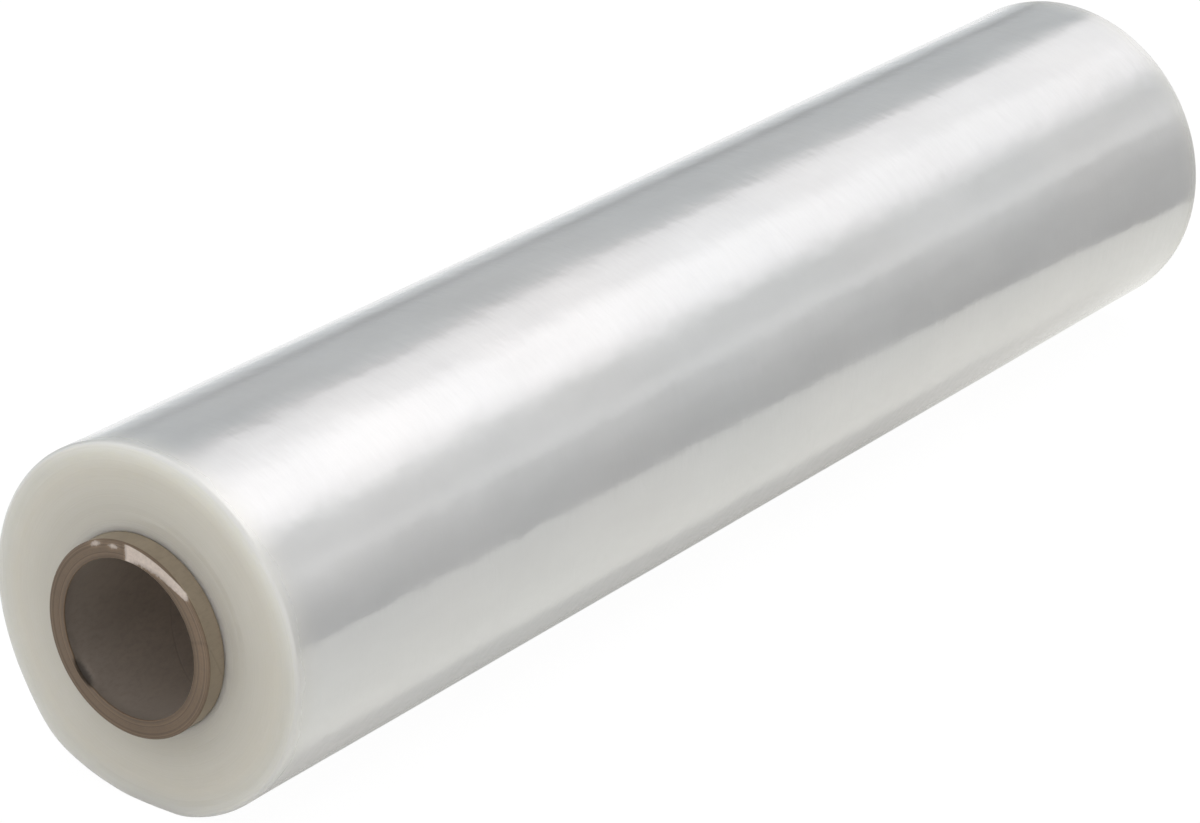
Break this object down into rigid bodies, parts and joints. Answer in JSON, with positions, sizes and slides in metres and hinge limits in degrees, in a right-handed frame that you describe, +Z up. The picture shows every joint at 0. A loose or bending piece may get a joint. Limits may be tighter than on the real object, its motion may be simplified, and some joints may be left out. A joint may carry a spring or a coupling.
{
  "type": "stretch wrap roll",
  "caption": "Roll of clear stretch film wound on a paperboard core that stands a little proud at both ends, lying on its side.",
  "frame": {"origin": "on the surface that the roll lies on, under the middle of its length", "axes": "+X along the roll's axis away from the end that faces the camera, +Z up"},
  "size_m": [0.512, 0.114, 0.113],
  "materials": {
    "stretch_film": "gloss",
    "paperboard": "matte"
  },
  "bodies": {
    "root": {"film_roll": "stretch_film", "core_tube": "paperboard"}
  },
  "joints": []
}
